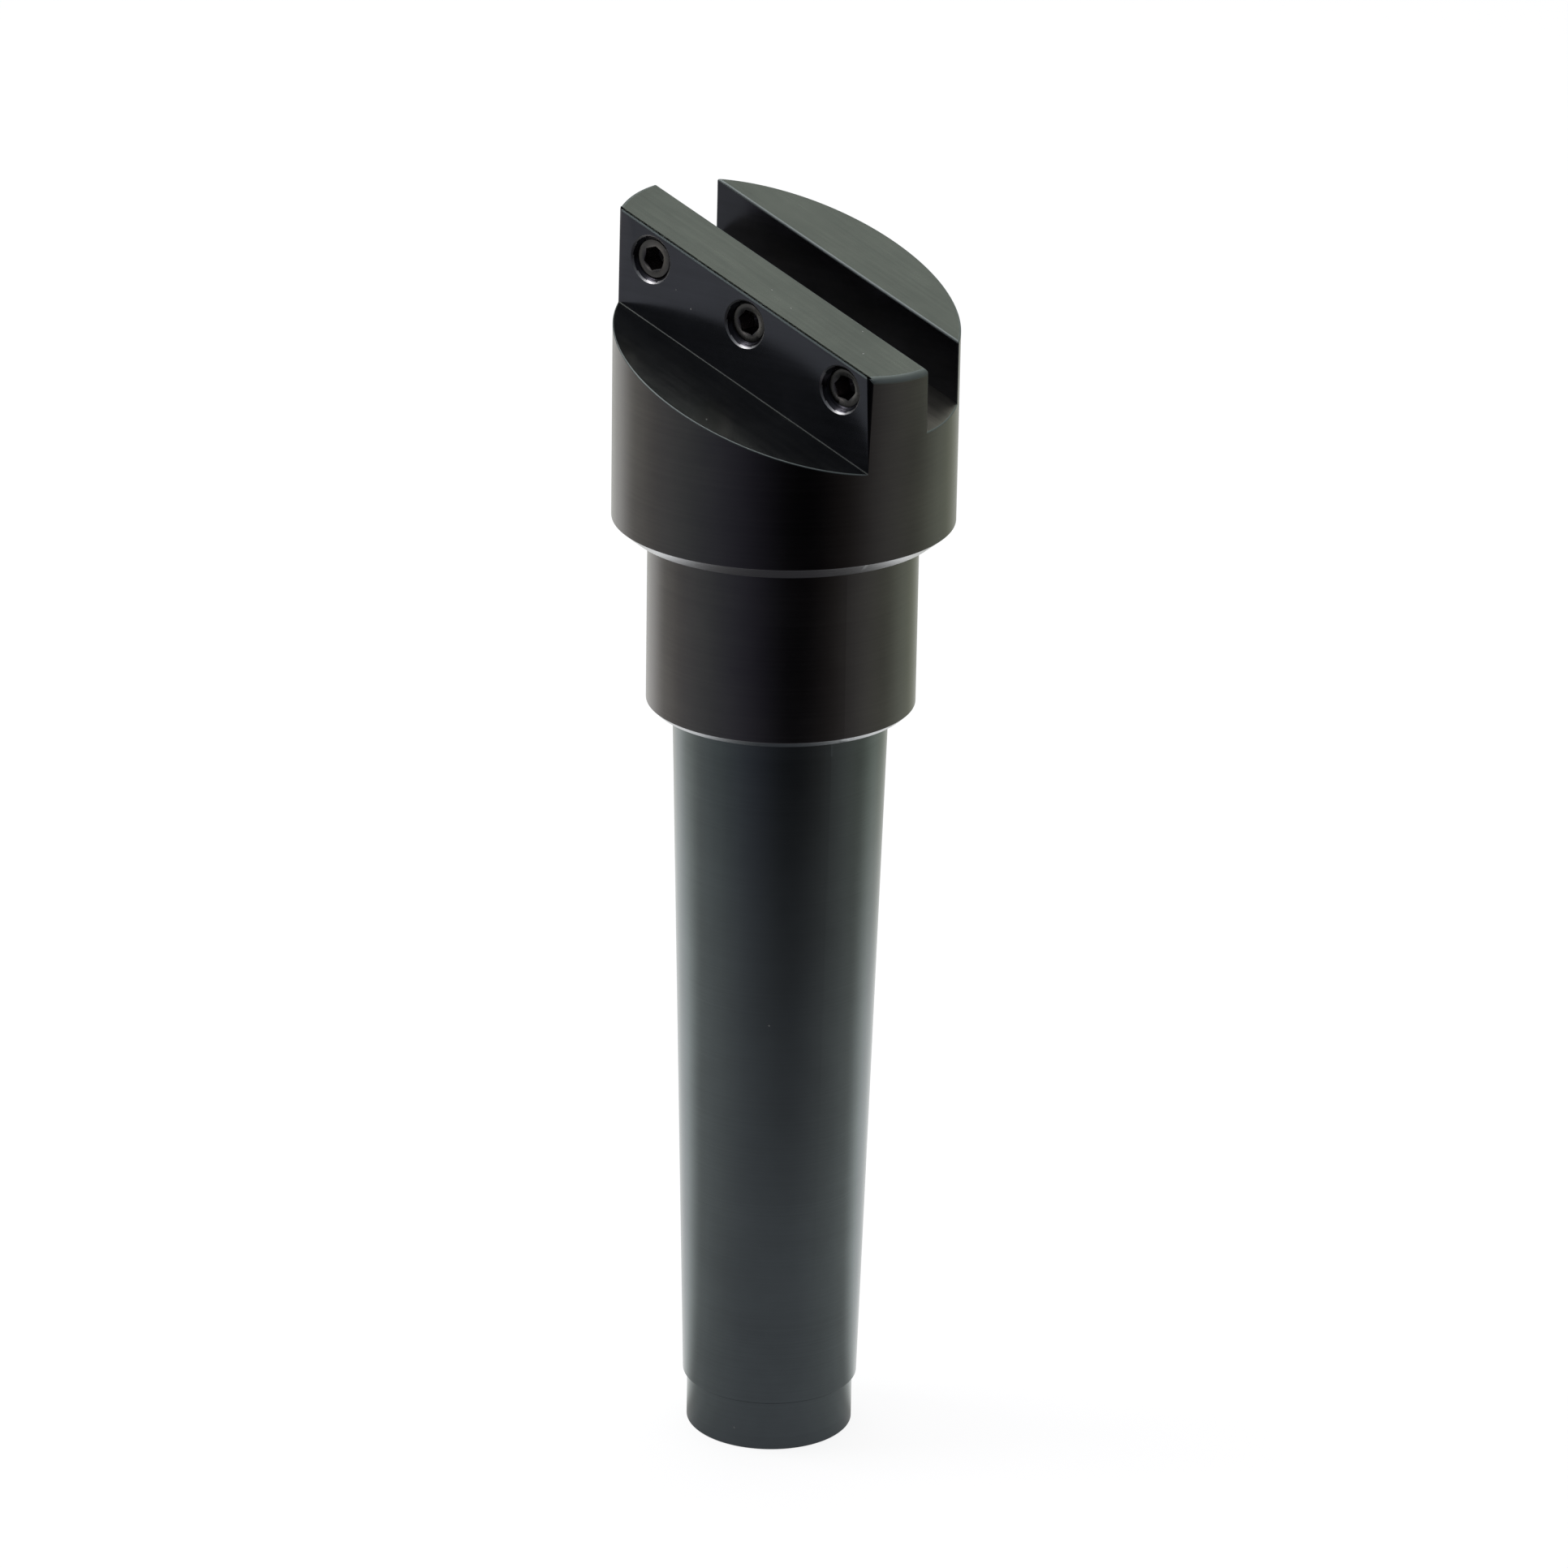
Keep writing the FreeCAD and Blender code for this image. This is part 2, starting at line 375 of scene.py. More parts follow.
def break_widths(mesh):
    """Width of the break on every edge of the head. Round the rim of the end face it is the rim's
    radius times the tangent of half the angle between the normals of the end face and the
    cylinder: the radius is largest at the low end of the clamping wall, and grows a little along
    the block behind the slot. Finer breaks lie along the flat and the slot, and on the outer edges
    of the slot's floor and the ledge, where they run out towards the flat."""
    edges = values(mesh.vertices, "co", 3)[values(mesh.edges, "vertices", 2, np.int32)]
    x, y, z = edges[..., 0], edges[..., 1], edges[..., 2]
    depth = (END_HEIGHT - z - x * math.tan(SLANT)) * math.cos(SLANT)
    chord = np.hypot(x[:, 1] - x[:, 0], y[:, 1] - y[:, 0])
    arc = (np.hypot(x, y).min(1) > HEAD_RADIUS - NEAR) & (chord > NEAR) & (chord < 1.0)

    def lies_at(places, place):
        """Edges that have both ends at a place."""
        return (np.abs(places - place) < NEAR).all(1)

    on_end, on_floor = lies_at(depth, 0), lies_at(depth, SLOT_DEPTH)
    middle_x, middle_y = x.mean(1), y.mean(1)
    out = np.maximum(np.hypot(middle_x, middle_y), 1e-6)
    between = np.arccos(math.sin(SLANT) * middle_x / out)
    front_radius = np.where(middle_x < 0, HIGH_RIM, LOW_RIM)
    back_radius = np.interp(middle_x, (-HEAD_RADIUS, HEAD_RADIUS), BACK_RIM)
    radius = np.where(middle_y > SLOT_BACK, back_radius, front_radius)
    width = np.where(arc & on_end, radius * np.tan(between / 2), 0)
    above_floor = (depth < SLOT_DEPTH + NEAR).all(1) & ~on_floor
    width[above_floor & (lies_at(y, SLOT_FRONT) | lies_at(y, SLOT_BACK))] = SLOT_BREAK
    width[on_end & lies_at(y, SLOT_FRONT)] = SLOT_FRONT_BREAK
    width[on_end & lies_at(y, FLAT)] = FLAT_BREAK
    width[on_end & lies_at(y, SLOT_BACK)] = SLOT_BACK_BREAK
    width[arc & on_floor] = SLOT_BREAK
    ledge_arc = arc & lies_at(depth, LEDGE_DEPTH)
    from_flat = FLAT - LEDGE_FILLET - middle_y[ledge_arc]
    width[ledge_arc] = LEDGE_BREAK * np.clip(from_flat / LEDGE_BREAK_RUN, 0, 1)
    return width


def with_broken_edges(mesh, materials):
    """The head's mesh with its edges rounded, and the roundings in their own finish, which is
    lighter along the top of the flat: rubbed wear there, with a painted sheen."""
    for material in materials:
        mesh.materials.append(material)
    weights = mesh.attributes.new("bevel_weight_edge", "FLOAT", "EDGE")
    weights.data.foreach_set("value", break_widths(mesh))
    blank = bpy.data.objects.new("head_blank", mesh)
    bpy.context.collection.objects.link(blank)
    breaks = blank.modifiers.new("Edge breaks", "BEVEL")
    breaks.limit_method = "WEIGHT"
    breaks.width = 1.0
    breaks.segments = 4
    breaks.use_clamp_overlap = False
    breaks.material = WORN_EDGE
    rounded = evaluated_mesh(blank)
    bpy.data.objects.remove(blank)
    x, y, z = values(rounded.polygons, "center", 3).T
    finish = values(rounded.polygons, "material_index", kind=np.int32)
    # The strip along the top of the flat takes the lighter finish: partly rubbed wear, partly
    # painted sheen.
    on_flat_edge = (np.abs(y - FLAT) < FLAT_BREAK) & (z > end_plane(x, FLAT_BREAK))
    finish[(finish == WORN_EDGE) & on_flat_edge] = RUBBED_EDGE_AND_SHEEN
    rounded.polygons.foreach_set("material_index", finish)
    return rounded


def turned_shell():
    """Everything below the head's foot as one turned surface: radius over height, carried round
    the axis, from the head's side down to the small end and up inside the drawbar hole. In the
    hole the radius lies between the thread's crest and root, by its phase."""
    shoulder_radius = shank_radius(RELIEF_LENGTH + SHANK_BREAK)
    outside = softened([
        (HEAD_RADIUS, TURNED_TOP, 0),
        (HEAD_RADIUS, HEAD_BOTTOM + HEAD_CHAMFER[1], 0.06),
        (HEAD_RADIUS - HEAD_CHAMFER[0], HEAD_BOTTOM, 0.3),
        (COLLAR_RADIUS, HEAD_BOTTOM, 0.25),
        (COLLAR_RADIUS, SHANK_LENGTH + COLLAR_CHAMFER[1], 0.06),
        (COLLAR_RADIUS - COLLAR_CHAMFER[0], SHANK_LENGTH, 0.15),
        (shank_radius(SHANK_LENGTH), SHANK_LENGTH, 0.25),
        *[(shank_radius(height) - below, height, 0) for height, below in TAPER_RINGS],
        (shoulder_radius, RELIEF_LENGTH + SHANK_BREAK, 0.06),
        (shoulder_radius - SHANK_BREAK, RELIEF_LENGTH, 0.06),
        (RELIEF_RADIUS, RELIEF_LENGTH, 0.1),
        (RELIEF_RADIUS, SHANK_BREAK, 0.06),
        (RELIEF_RADIUS - SHANK_BREAK, 0, 0.06),
        (DRAWBAR_MOUTH, 0, 0.15),
        (DRAWBAR_THREAD, DRAWBAR_CONE, 0),
    ])[:-1]
    columns = len(head_angles)
    rings = np.repeat(outside[:, None, :], columns, axis=1)
    cone_start = outside[-1, 1]
    heights = helix_rows(head_angles, cone_start, DRAWBAR_THREAD_END, DRAWBAR_PITCH, 1, 8)
    phase = (heights - DRAWBAR_CONE) / DRAWBAR_PITCH - head_angles / FULL_TURN
    thread = DRAWBAR_CREST + (DRAWBAR_THREAD - DRAWBAR_CREST) * thread_depth(phase)
    slope = (DRAWBAR_MOUTH - DRAWBAR_THREAD) / DRAWBAR_CONE
    cone = DRAWBAR_MOUTH - slope * heights
    bore = np.stack([np.maximum(thread, cone), heights], -1)
    hole_end = np.array([(DRAWBAR_CREST, DRAWBAR_THREAD_END + DRAWBAR_RUNOUT),
                         (DRAWBAR_CREST, DRAWBAR_DRILL_END), (0, DRAWBAR_TIP)])
    rings = np.concatenate([rings, bore, np.repeat(hole_end[:, None, :], columns, axis=1)])
    r, z = rings[..., 0], rings[..., 1]
    points = np.stack([r * np.cos(head_angles), r * np.sin(head_angles), z], -1)

    middle = (z[:-1] + z[1:]).mean(1) / 2
    margin = 0.01
    finish = np.where(middle > SHANK_LENGTH - margin, TURNED, GROUND)
    for foot, (_, height) in ((HEAD_BOTTOM, HEAD_CHAMFER), (SHANK_LENGTH, COLLAR_CHAMFER)):
        finish[(middle > foot + margin) & (middle < foot + height - margin)] = CHAMFERED
    finish[len(outside) - 1:] = TAPPED
    shell = [[], [], []]
    faces = grid_faces(len(rings), columns)
    add_surface(shell, points.reshape(-1, 3), faces, np.repeat(finish, columns))
    return shell


def screw_place(index):
    """Point where a set screw's axis meets the flat."""
    middle = (SCREW_MIDDLE + SCREW_DEPTH * math.sin(SLANT)) / math.cos(SLANT)
    along = middle + (index - 1) * SCREW_STEP
    x = along * math.cos(SLANT) - SCREW_DEPTH * math.sin(SLANT)
    z = END_HEIGHT - along * math.sin(SLANT) - SCREW_DEPTH * math.cos(SLANT)
    return np.array([x, FLAT, z])


def about_screw(index, angles, r, depth):
    """Points round a screw's axis: r out from it at the angle, and depth into the flat."""
    x, y, z = screw_place(index)
    return np.stack([x + r * np.cos(angles), y + depth, z + r * np.sin(angles)], -1)


def hole_thread(angles, depth):
    """Radius of a tapped screw hole: between crest and root by phase, which turns right-handed."""
    phase = depth / SCREW_PITCH + angles / FULL_TURN
    return HOLE_CREST + (HOLE_THREAD - HOLE_CREST) * thread_depth(phase)


def screw_hole_shell(index):
    """Tapped hole through the clamping wall: the larger of the thread's radius and the cone of the
    mouth, from the flat to the slot. The cone and the crests of the thread are rubbed bright."""
    angles = np.arange(SCREW_COLUMNS) / SCREW_COLUMNS * FULL_TURN
    depths = helix_rows(angles, 0.0, SLOT_FRONT - FLAT, SCREW_PITCH, -1)
    r = np.maximum(hole_thread(angles, depths), HOLE_MOUTH - depths)
    points = about_screw(index, angles[None, :], r, depths)
    middle_r, middle_depth = (r[:-1] + r[1:]) / 2, (depths[:-1] + depths[1:]) / 2
    rubbed = (middle_depth < HOLE_MOUTH - HOLE_THREAD) | (middle_r < HOLE_CREST + RUBBED_CREST)
    finish = np.where(rubbed, RUBBED_MOUTH, TAPPED)
    faces = grid_faces(len(depths), SCREW_COLUMNS)
    shell = [[], [], []]
    add_surface(shell, points.reshape(-1, 3), faces, finish.reshape(-1))
    return shell


def filled_plane(shaped, y, finish):
    """Takes out the broad face at y, joins points of its rim that lie within 0.02 mm of each other,
    and fills the plane again round the screw holes' rims."""

    def in_plane(face):
        """Whether a face lies in the plane at y."""
        return abs(face.normal.y) > 0.999 and abs(face.calc_center_median().y - y) < NEAR

    wall = max(filter(in_plane, shaped.faces), key=lambda face: face.calc_area())
    bmesh.ops.delete(shaped, geom=[wall], context="FACES_ONLY")

    def rims():
        """Open edges in the plane."""
        return [e for e in shaped.edges
                if e.is_boundary and all(abs(v.co.y - y) < 1e-4 for v in e.verts)]

    corners = list(dict.fromkeys(v for e in rims() for v in e.verts))
    bmesh.ops.remove_doubles(shaped, verts=corners, dist=0.02)
    fill = bmesh.ops.triangle_fill(shaped, use_beauty=True, use_dissolve=False, edges=rims())
    for element in fill["geom"]:
        if isinstance(element, bmesh.types.BMFace):
            element.material_index = finish


def cutter_body(materials):
    """Head, collar and shank in one closed piece, with the tapped holes let into it."""
    shaped = bmesh.new()
    shaped.from_mesh(with_broken_edges(shell_mesh("head", head_shell()), materials))
    shaped.from_mesh(shell_mesh("turned", turned_shell()))
    for index in range(len(SCREW_RECESSES)):
        shaped.from_mesh(shell_mesh("screw_hole", screw_hole_shell(index)))
    bmesh.ops.remove_doubles(shaped, verts=shaped.verts, dist=WELD)
    shaped.normal_update()
    filled_plane(shaped, FLAT, MILLED_WALL)
    filled_plane(shaped, SLOT_FRONT, SLOT_WALL)
    return finished_piece("cutter_body_steel", shaped, materials, "cutter")


# ---- set screws

def set_screw(index, materials):
    """Socket set screw as rings round its axis: the socket's cone and six flats, its chamfered
    mouth, the end face, the thread between its two chamfers, and the flat point. The flats lie at
    half the width across flats over the cosine of the angle from the nearest flat's middle."""
    turn = math.radians(SOCKET_TURNS[index])
    angles = turn + np.arange(SCREW_COLUMNS) / SCREW_COLUMNS * FULL_TURN
    from_flat = np.mod(angles - turn, FULL_TURN / 6) - FULL_TURN / 12
    hexagon = SOCKET_HALF / np.cos(from_flat)
    level = np.ones_like(angles)
    recess = SCREW_RECESSES[index]
    mouth_depth = (SOCKET_MOUTH - hexagon) * math.tan(SOCKET_CHAMFER)
    rows = [(0 * level, SOCKET_TIP * level), (SOCKET_HALF * level, SOCKET_DEPTH * level),
            (hexagon, SOCKET_DEPTH * level), (hexagon, mouth_depth),
            (SOCKET_MOUTH * level, 0 * level), ((SCREW_FACE - FACE_LIP) * level, 0 * level)]
    head_r, head_depth = np.array([r for r, _ in rows]), np.array([d for _, d in rows])
    depths = helix_rows(angles, THREAD_START, SCREW_LENGTH, SCREW_PITCH, -1)
    thread = hole_thread(angles, depths + recess) - THREAD_CLEARANCE
    cone = np.minimum(SCREW_FACE + depths, SCREW_POINT + (SCREW_LENGTH - depths))
    r = np.concatenate([head_r, np.minimum(thread, cone), [0 * level]])
    depth = np.concatenate([head_depth, depths, [SCREW_LENGTH * level]])
    points = about_screw(index, angles, r, depth + recess)
    oxide, face_finish, socket_rows = 0, 1, 3
    finish = np.where(depth.mean(1)[1:] < HOLE_THREAD - SCREW_FACE, face_finish, oxide)
    finish[:socket_rows] = oxide
    faces = grid_faces(len(r), SCREW_COLUMNS)
    shell = [[], [], []]
    add_surface(shell, points.reshape(-1, 3), faces, np.repeat(finish, SCREW_COLUMNS))
    shaped = bmesh.new()
    shaped.from_mesh(shell_mesh("screw", shell))
    return finished_piece(f"set_screw_{index + 1}_steel", shaped, materials,
                          f"clamp_screw_{index + 1}")


# ---- materials

def linear(colour):
    """Linear RGBA of an sRGB hex colour."""
    channels = [int(colour[i:i + 2], 16) / 255 for i in (1, 3, 5)]
    return (*[c / 12.92 if c <= 0.04045 else ((c + 0.055) / 1.055) ** 2.4 for c in channels], 1.0)


def add_node(tree, kind, settings=None, **inputs):
    """Adds a node, sets its properties, and sets or links its inputs. An input's name is the
    socket's with underscores for blanks, or its number after in_."""
    node = tree.nodes.new(kind)
    for name, value in (settings or {}).items():
        setattr(node, name, value)
    for name, value in inputs.items():
        socket = node.inputs[int(name[3:]) if name.startswith("in_") else name.replace("_", " ")]
        if isinstance(value, bpy.types.NodeSocket):
            tree.links.new(value, socket)
        else:
            socket.default_value = value
    return node


def worked(tree, operation, first, second):
    """Result of a Math node on two numbers."""
    settings = {"operation": operation}
    return add_node(tree, "ShaderNodeMath", settings, in_0=first, in_1=second).outputs[0]


def compared(tree, operation, first, second):
    """Number that a Vector Math node works out from two vectors."""
    settings = {"operation": operation}
    node = add_node(tree, "ShaderNodeVectorMath", settings, in_0=first, in_1=second)
    return node.outputs["Value"]


def product(tree, first, second):
    """Product of two colours."""
    settings = {"data_type": "RGBA", "blend_type": "MULTIPLY"}
    return add_node(tree, "ShaderNodeMix", settings, in_0=1.0, in_6=first, in_7=second).outputs[2]


def blend(tree, share, first, second):
    """The first colour where the share is 0, and the second where it is 1."""
    settings = {"data_type": "RGBA"}
    return add_node(tree, "ShaderNodeMix", settings, in_0=share, in_6=first, in_7=second).outputs[2]


def ramp(tree, factor, stops, course="LINEAR"):
    """Colour ramp over (position, hex colour) stops, which follows them in straight steps unless
    another course is given."""
    node = add_node(tree, "ShaderNodeValToRGB", None, Fac=factor)
    node.color_ramp.interpolation = course
    while len(node.color_ramp.elements) < len(stops):
        node.color_ramp.elements.new(1.0)
    for element, (position, colour) in zip(node.color_ramp.elements, stops):
        element.position = position
        element.color = linear(colour)
    return node.outputs["Color"]


# Part of the noise's range that the oxide's tones spread over, the size in millimetres of its
# soft patches, and their share of the tone beside the tool marks
TONES = (0.34, 0.66)
PATCH_SIZE = 9
PATCH_SHARE = 0.65
# Specks of dust and lint, 0.2 mm across: as small as still shows.
SPECK_RADIUS = 0.1
DUST = "#b9bab6"


def steel(name, dark, light, rough, marks, mark_height, speck_spacing=None):
    """Steel under a thin black oxide layer. Marks are the lengths in mm of the tool marks along X,
    Y and Z, and their height in mm; the oxide varies softly between two tones, and its darker
    patches are smoother. Specks of dust lie a spacing apart."""
    material = bpy.data.materials.new(name)
    material.use_nodes = True
    tree = material.node_tree
    tree.nodes.clear()
    place = add_node(tree, "ShaderNodeTexCoord").outputs["Object"]
    along_marks = add_node(tree, "ShaderNodeMapping", None, Vector=place,
                           Scale=[PER_METRE / length for length in marks])
    grain = add_node(tree, "ShaderNodeTexNoise", None, Vector=along_marks.outputs[0], Scale=1.0,
                     Detail=2.0)
    cloud = add_node(tree, "ShaderNodeTexNoise", None, Vector=place, Scale=PER_METRE / PATCH_SIZE,
                     Detail=4.0, Roughness=0.6)
    tone = add_node(tree, "ShaderNodeMix", {"data_type": "FLOAT"}, in_0=PATCH_SHARE,
                    in_2=grain.outputs[0], in_3=cloud.outputs[0]).outputs[0]
    colour = ramp(tree, tone, [(TONES[0], dark), (TONES[1], light)])
    roughness = add_node(tree, "ShaderNodeMapRange", None, Value=tone, From_Min=TONES[0],
                         From_Max=TONES[1], To_Min=rough[0], To_Max=rough[1]).outputs[0]
    bump = add_node(tree, "ShaderNodeBump", None, Strength=1.0, Distance=mark_height * METRES,
                    Height=grain.outputs[0])
    shader = add_node(tree, "ShaderNodeBsdfPrincipled", None, Base_Color=colour, Metallic=1.0,
                      Roughness=roughness, Normal=bump.outputs[0])
    if speck_spacing:
        cells = add_node(tree, "ShaderNodeTexVoronoi", None, Vector=place,
                         Scale=PER_METRE / speck_spacing)
        speck = worked(tree, "LESS_THAN", cells.outputs["Distance"], SPECK_RADIUS / speck_spacing)
        dusty = blend(tree, speck, colour, linear(DUST))
        tree.links.new(dusty, shader.inputs["Base Color"])
        tree.links.new(worked(tree, "SUBTRACT", 1.0, speck), shader.inputs["Metallic"])
    add_node(tree, "ShaderNodeOutputMaterial", None, Surface=shader.outputs[0])
    return material


# Black oxide on turned steel: near-black satin with rings round the axis. The tool's feed of
# 0.1 mm is too fine to show, so the rings are drawn 0.3 mm apart.
turned_oxide = steel("black_oxide_on_turned_steel", "#757274", "#807d7d", (0.19, 0.25),
                     (60, 60, 0.3), 0.0006, 7.0)
# Black oxide on the ground taper: the same layer over finer rings, a little bluer and smoother.
ground_oxide = steel("black_oxide_on_ground_steel", "#71787a", "#7b8385", (0.18, 0.23),
                     (60, 60, 0.2), 0.0004, 6.0)
# Black oxide on the chamfers under the head and the collar: duller, because a form tool cut them,
# and much lighter than the turned oxide, a painted highlight on the bands these chamfers show.
chamfer_oxide_painted_light = steel("black_oxide_on_turned_chamfers_painted_lighter", "#a4a6aa", "#aeb0b4", (0.23, 0.27),
                      (60, 60, 0.3), 0.0005)
# Black oxide on milled end and floors: satin, with marks along the slant and a cloudy tone.
milled_end_oxide = steel("black_oxide_on_end_milled_steel", "#727472", "#81837f", (0.2, 0.28),
                         (9, 0.5, 9), 0.0006, 3.0)
# Black oxide on milled walls: smoother, because the side of the cutter made them.
milled_wall_oxide = steel("black_oxide_on_side_milled_steel", "#717179", "#7b7b85", (0.17, 0.22),
                          (30, 30, 0.4), 0.0005, 4.0)
# Black oxide on the slot's floor: duller than the rest, with chatter marks and dust.
slot_floor_oxide = steel("black_oxide_on_slot_floor", "#78756f", "#918d85", (0.34, 0.42),
                         (9, 0.5, 9), 0.0012, 1.6)
# Black oxide on the slot's walls: a darker copy of the side-milled oxide, painted shade inside the
# slot.
slot_wall_oxide_painted_dark = steel("black_oxide_on_slot_walls_painted_dark", "#63636a", "#6d6d75", (0.17, 0.22),
                        (30, 30, 0.4), 0.0005)
# Oxide rubbed thin on the edges, where the steel starts to show through.
worn_edge = steel("oxide_rubbed_thin_on_edges", "#7e8484", "#8a9090", (0.42, 0.5),
                  (4, 4, 4), 0.0003)
# The edge between the flat and the end face, which hands and keys rub most: rougher and much
# lighter than the other edges, partly rubbed wear and partly a painted sheen on this strip.
rubbed_edge_and_sheen = steel("oxide_rubbed_off_flat_edge_and_painted_sheen", "#a4aeae", "#aeb8b8", (0.6, 0.66),
                    (4, 4, 4), 0.0003)
# The mouths of the tapped holes, where the screws have rubbed the oxide off the steel.
rubbed_mouth = steel("bare_steel_on_hole_mouths", "#c0bec0", "#d2d0d2", (0.34, 0.44),
                     (0.5, 0.5, 0.5), 0.0005)
# Black oxide in tapped holes: duller, over torn flanks, and darker than the rest of the oxide,
# painted shade inside the holes.
tapped_oxide_painted_dark = steel("black_oxide_in_tapped_hole_painted_dark", "#46444a", "#545259", (0.22, 0.34),
                     (0.4, 0.4, 0.4), 0.001)
# Black oxide on forged alloy steel screws: a browner black than the body's.
screw_oxide = steel("black_oxide_on_alloy_screw", "#7a7474", "#8a8484", (0.2, 0.3),
                    (0.5, 0.5, 0.5), 0.001)
# The screws' end faces, rubbed lighter by the key.
screw_face = steel("oxide_rubbed_on_screw_face", "#7c7876", "#8e8a88", (0.24, 0.34),
                   (0.3, 0.3, 0.3), 0.001)


# ---- camera

# The camera looks at a height on the axis and is then shifted a little; its lens is given by its
# focal length in pixels of a picture of that width. All were fitted to the tool's outlines.
azimuth, elevation, roll = math.radians(37.456), math.radians(20.663), math.radians(-0.975)
aim_height, distance, shift_right, shift_up = 75.0, 774.064, 0.535, 2.652
focal_pixels, picture_width = 8527.0, 1932
back = Vector((math.sin(azimuth) * math.cos(elevation), -math.cos(azimuth) * math.cos(elevation),
               math.sin(elevation)))
right = Vector((math.cos(azimuth), math.sin(azimuth), 0))
up = back.cross(right)
eye = Vector((0, 0, aim_height)) + shift_right * right + shift_up * up + distance * back
across_view = right * math.cos(roll) - up * math.sin(roll)
up_view = right * math.sin(roll) + up * math.cos(roll)
lens = bpy.data.cameras.new("camera")
lens.sensor_width = 36.0
lens.lens = focal_pixels / picture_width * lens.sensor_width
lens.clip_start, lens.clip_end = 0.01, 20.0
camera = bpy.data.objects.new("camera", lens)
turn = Matrix((across_view, up_view, back)).transposed().to_4x4()
camera.matrix_world = Matrix.Translation(eye * METRES) @ turn
bpy.context.collection.objects.link(camera)
bpy.context.scene.camera = camera


# ---- floor, world and lamps

WHITE = "#ffffff"
PAPER_GLOW = 0.857
TOOL_MIDDLE = Vector((0, 0, 0.08))


def ray_kinds(tree):
    """Two factors from Light Path: 1 for camera rays, and 1 for rays that show the background,
    which are the camera's, those that metal mirrors and those that a clear piece lets through."""
    rays = add_node(tree, "ShaderNodeLightPath").outputs
    mirrored = worked(tree, "MAXIMUM", rays["Is Glossy Ray"], rays["Is Transmission Ray"])
    return rays["Is Camera Ray"], worked(tree, "MAXIMUM", rays["Is Camera Ray"], mirrored)


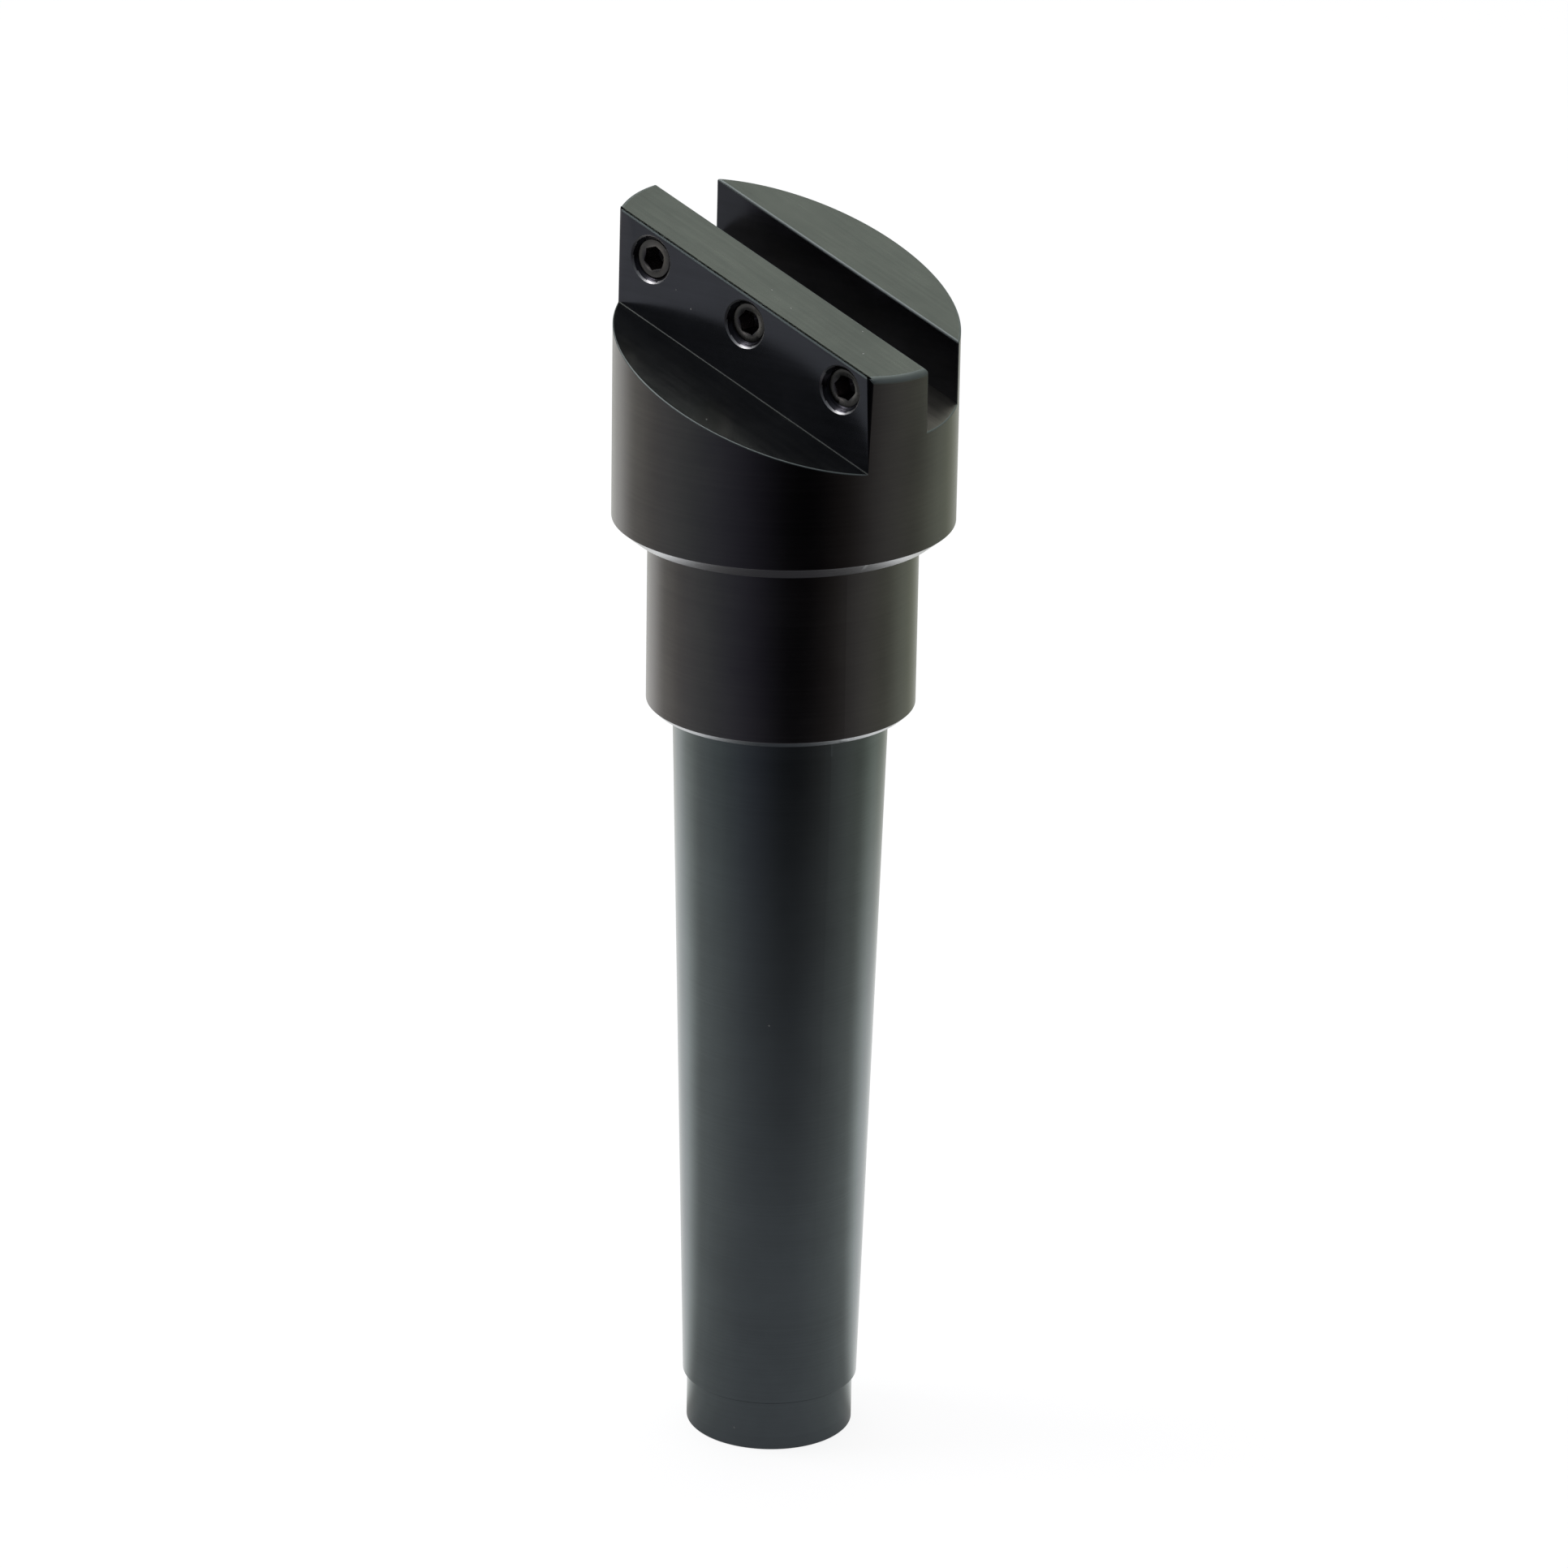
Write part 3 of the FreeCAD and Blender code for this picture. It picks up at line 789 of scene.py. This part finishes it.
def paper_floor():
    """Pale paper sweep. To the camera it is white, with the soft shadow of the tool. In the steel
    it shows painted shade: white behind the tool, and falling into painted shade in front of it
    and with distance, with a painted shadow lane in front of it and painted tints to its sides."""
    size = 4.0
    mesh = bpy.data.meshes.new("floor")
    corners = [(-size, -size, 0), (size, -size, 0), (size, size, 0), (-size, size, 0)]
    mesh.from_pydata(corners, [], [(0, 1, 2, 3)])
    floor = bpy.data.objects.new("floor", mesh)
    bpy.context.collection.objects.link(floor)
    material = bpy.data.materials.new("white_paper_with_painted_shade")
    material.use_nodes = True
    tree = material.node_tree
    tree.nodes.clear()
    place = add_node(tree, "ShaderNodeTexCoord").outputs["Object"]
    way = add_node(tree, "ShaderNodeVectorMath", {"operation": "NORMALIZE"}, in_0=place).outputs[0]
    to_camera, to_right, shadow_side = (0.608, -0.794, 0), (0.794, 0.608, 0), (0.783, -0.622, 0)
    bright_spot = (-0.0595, -0.0078, 0)

    def along(direction):
        """Cosine of the angle at the tool between a place on the floor and a direction."""
        return compared(tree, "DOT_PRODUCT", way, direction)

    def turned_from(direction):
        """Share of the way from a direction to its opposite, by the cosine of the angle."""
        return add_node(tree, "ShaderNodeMapRange", None, Value=along(direction), From_Min=1.0,
                        From_Max=-1.0).outputs[0]

    def gap_from(point):
        """Distance of a place on the floor from a point, as a share of half a metre."""
        return worked(tree, "DIVIDE", compared(tree, "DISTANCE", place, point), 0.5)

    # Painted shade for the steel's reflections: darker in front of the tool and with distance, a
    # painted shadow lane in front of it, and painted tints of the room to its sides.
    round_tool = ramp(tree, turned_from(to_camera), [
        (0.0, "#7f7f83"), (0.117, "#87878a"), (0.25, "#929293"), (0.413, "#a1a1a1"),
        (0.587, "#b7b7b5"), (0.75, "#f9faf8"), (0.883, WHITE)], "CARDINAL")
    outwards = ramp(tree, gap_from(bright_spot), [
        (0.0, WHITE), (0.26, "#fefffd"), (0.34, "#efefec"), (0.44, "#e4e4e0"), (0.6, "#dedfda"),
        (1.0, "#d5d5d0")])
    shadow_lane = ramp(tree, gap_from((0, 0, 0)), [
        (0.1, WHITE), (0.21, "#cdcdcf"), (0.32, "#b0b0b3"), (0.42, "#7d7d82"), (0.5, "#66666b"),
        (0.63, "#2f2f33")])
    lane_width = ramp(tree, turned_from(shadow_side), [
        (0.0, WHITE), (0.03, "#e6e6e6"), (0.117, "#bcbcbc"), (0.25, "#767676"),
        (0.413, "#000000")])
    lane = blend(tree, lane_width, linear(WHITE), shadow_lane)
    turn = worked(tree, "ARCTAN2", along(to_right), along(to_camera))
    left_to_right = add_node(tree, "ShaderNodeMapRange", None, Value=turn, From_Min=-math.pi,
                             From_Max=math.pi).outputs[0]
    surroundings = ramp(tree, left_to_right, [
        (0.0, WHITE), (0.12, WHITE), (0.17, "#c8c7c5"), (0.22, "#e9e8e8"), (0.25, "#eaebef"),
        (0.33, "#d6dde4"), (0.44, "#d1d1ea"), (0.5, "#b1b1bc"), (0.61, "#c1b8b1"),
        (0.67, "#f5f3f0"), (0.75, "#dbdfd4"), (0.84, "#b9c0b3"), (0.9, "#c4c9ba"),
        (1.0, WHITE)], "CARDINAL")
    far_away = ramp(tree, gap_from((0, 0, 0)), [(0.26, "#000000"), (0.5, WHITE)])
    tint = blend(tree, far_away, linear(WHITE), surroundings)
    painted_shade_in_steel = product(tree, product(tree, round_tool, outwards), product(tree, lane, tint))
    camera_ray, shown = ray_kinds(tree)
    tone = blend(tree, camera_ray, painted_shade_in_steel, linear(WHITE))
    strength = worked(tree, "MULTIPLY", shown, PAPER_GLOW)
    glow = add_node(tree, "ShaderNodeEmission", None, Color=tone, Strength=strength).outputs[0]
    paper = product(tree, tone, linear("#a0a0a0"))
    matt = add_node(tree, "ShaderNodeBsdfDiffuse", None, Color=paper).outputs[0]
    surface = add_node(tree, "ShaderNodeAddShader", None, in_0=glow, in_1=matt)
    add_node(tree, "ShaderNodeOutputMaterial", None, Surface=surface.outputs[0])
    mesh.materials.append(material)


def studio_world():
    """White behind the tool for the camera. In the steel it is a soft dome, bright behind and
    above and dim in front, and on matt surfaces it is plain light."""
    world = bpy.data.worlds.new("studio")
    bpy.context.scene.world = world
    world.use_nodes = True
    tree = world.node_tree
    tree.nodes.clear()
    way = add_node(tree, "ShaderNodeTexCoord").outputs["Generated"]
    bright_side = (-0.203, 0.913, 0.355)
    towards = compared(tree, "DOT_PRODUCT", way, bright_side)
    share = add_node(tree, "ShaderNodeMapRange", None, Value=towards, From_Min=-1.0, From_Max=1.0)
    dome = ramp(tree, share.outputs[0], [
        (0.0, "#202124"), (0.16, "#34373b"), (0.3, "#404347"), (0.42, "#7e8387"), (0.7, "#7a7e80"),
        (0.86, "#9a9e9b"), (0.97, "#b9c1b9")])
    camera_ray, shown = ray_kinds(tree)
    seen = blend(tree, camera_ray, dome, linear(WHITE))
    backdrop = add_node(tree, "ShaderNodeBackground", None, Color=seen, Strength=1.0)
    light = add_node(tree, "ShaderNodeBackground", None, Color=linear("#808084"), Strength=1.0)
    mixed = add_node(tree, "ShaderNodeMixShader", None, Fac=shown, in_1=light.outputs[0],
                     in_2=backdrop.outputs[0])
    add_node(tree, "ShaderNodeOutputWorld", None, Surface=mixed.outputs[0])


def softbox(name, place, size, radiance):
    """Square soft lamp at a place in metres, turned to the tool's middle. A lamp of size s that
    sends out radiance L has a power of L * pi * s * s."""
    lamp = bpy.data.lights.new(name, "AREA")
    lamp.shape = "SQUARE"
    lamp.size = size
    lamp.energy = radiance * math.pi * size ** 2
    holder = bpy.data.objects.new(name, lamp)
    holder.location = place
    to_tool = TOOL_MIDDLE - Vector(place)
    holder.rotation_euler = to_tool.to_track_quat("-Z", "Y").to_euler()
    bpy.context.collection.objects.link(holder)


paper_floor()
studio_world()
softbox("overhead_softbox", (-0.15, 0.25, 1.2), 0.9, 1.3)
softbox("left_softbox", (-0.36, -0.22, 0.62), 0.3, 2.8)
softbox("low_front_softbox", (-0.28, -0.72, 0.26), 0.26, 0.6)


# ---- pieces

steel_finishes = [turned_oxide, ground_oxide, chamfer_oxide_painted_light, milled_end_oxide, milled_wall_oxide,
                  slot_floor_oxide, slot_wall_oxide_painted_dark, worn_edge, tapped_oxide_painted_dark, rubbed_mouth,
                  rubbed_edge_and_sheen]
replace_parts(cutter_body(steel_finishes), "cutter_body")
for index in range(len(SCREW_RECESSES)):
    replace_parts(set_screw(index, [screw_oxide, screw_face]), f"set_screw_{index + 1}")

bpy.context.scene.view_settings.view_transform = "Standard"
